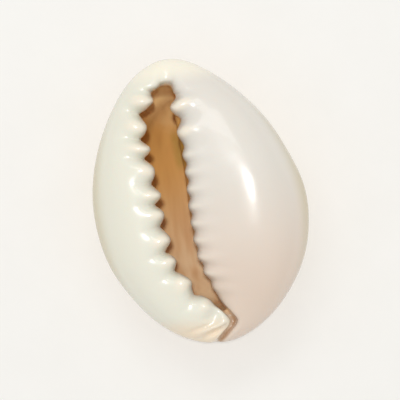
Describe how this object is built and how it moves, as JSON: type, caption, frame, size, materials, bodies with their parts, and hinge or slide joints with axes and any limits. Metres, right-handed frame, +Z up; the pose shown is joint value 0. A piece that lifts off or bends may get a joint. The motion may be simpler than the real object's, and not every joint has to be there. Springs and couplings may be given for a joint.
{
  "type": "cowrie shell",
  "caption": "Small ring cowrie shell lying on its domed back, with a toothed slit along its base and a drilled threading hole near its front end.",
  "frame": {"origin": "under the middle of the shell, on the surface that it rests on", "axes": "+Z up, out of the base with the slit; +Y along the shell towards its front (siphon) end; +X towards the swollen body whorl, away from the outer lip"},
  "size_m": [0.0136, 0.0184, 0.0091],
  "materials": {
    "porcelain_shell": "gloss"
  },
  "bodies": {
    "root": {"shell": "porcelain_shell"}
  },
  "joints": []
}
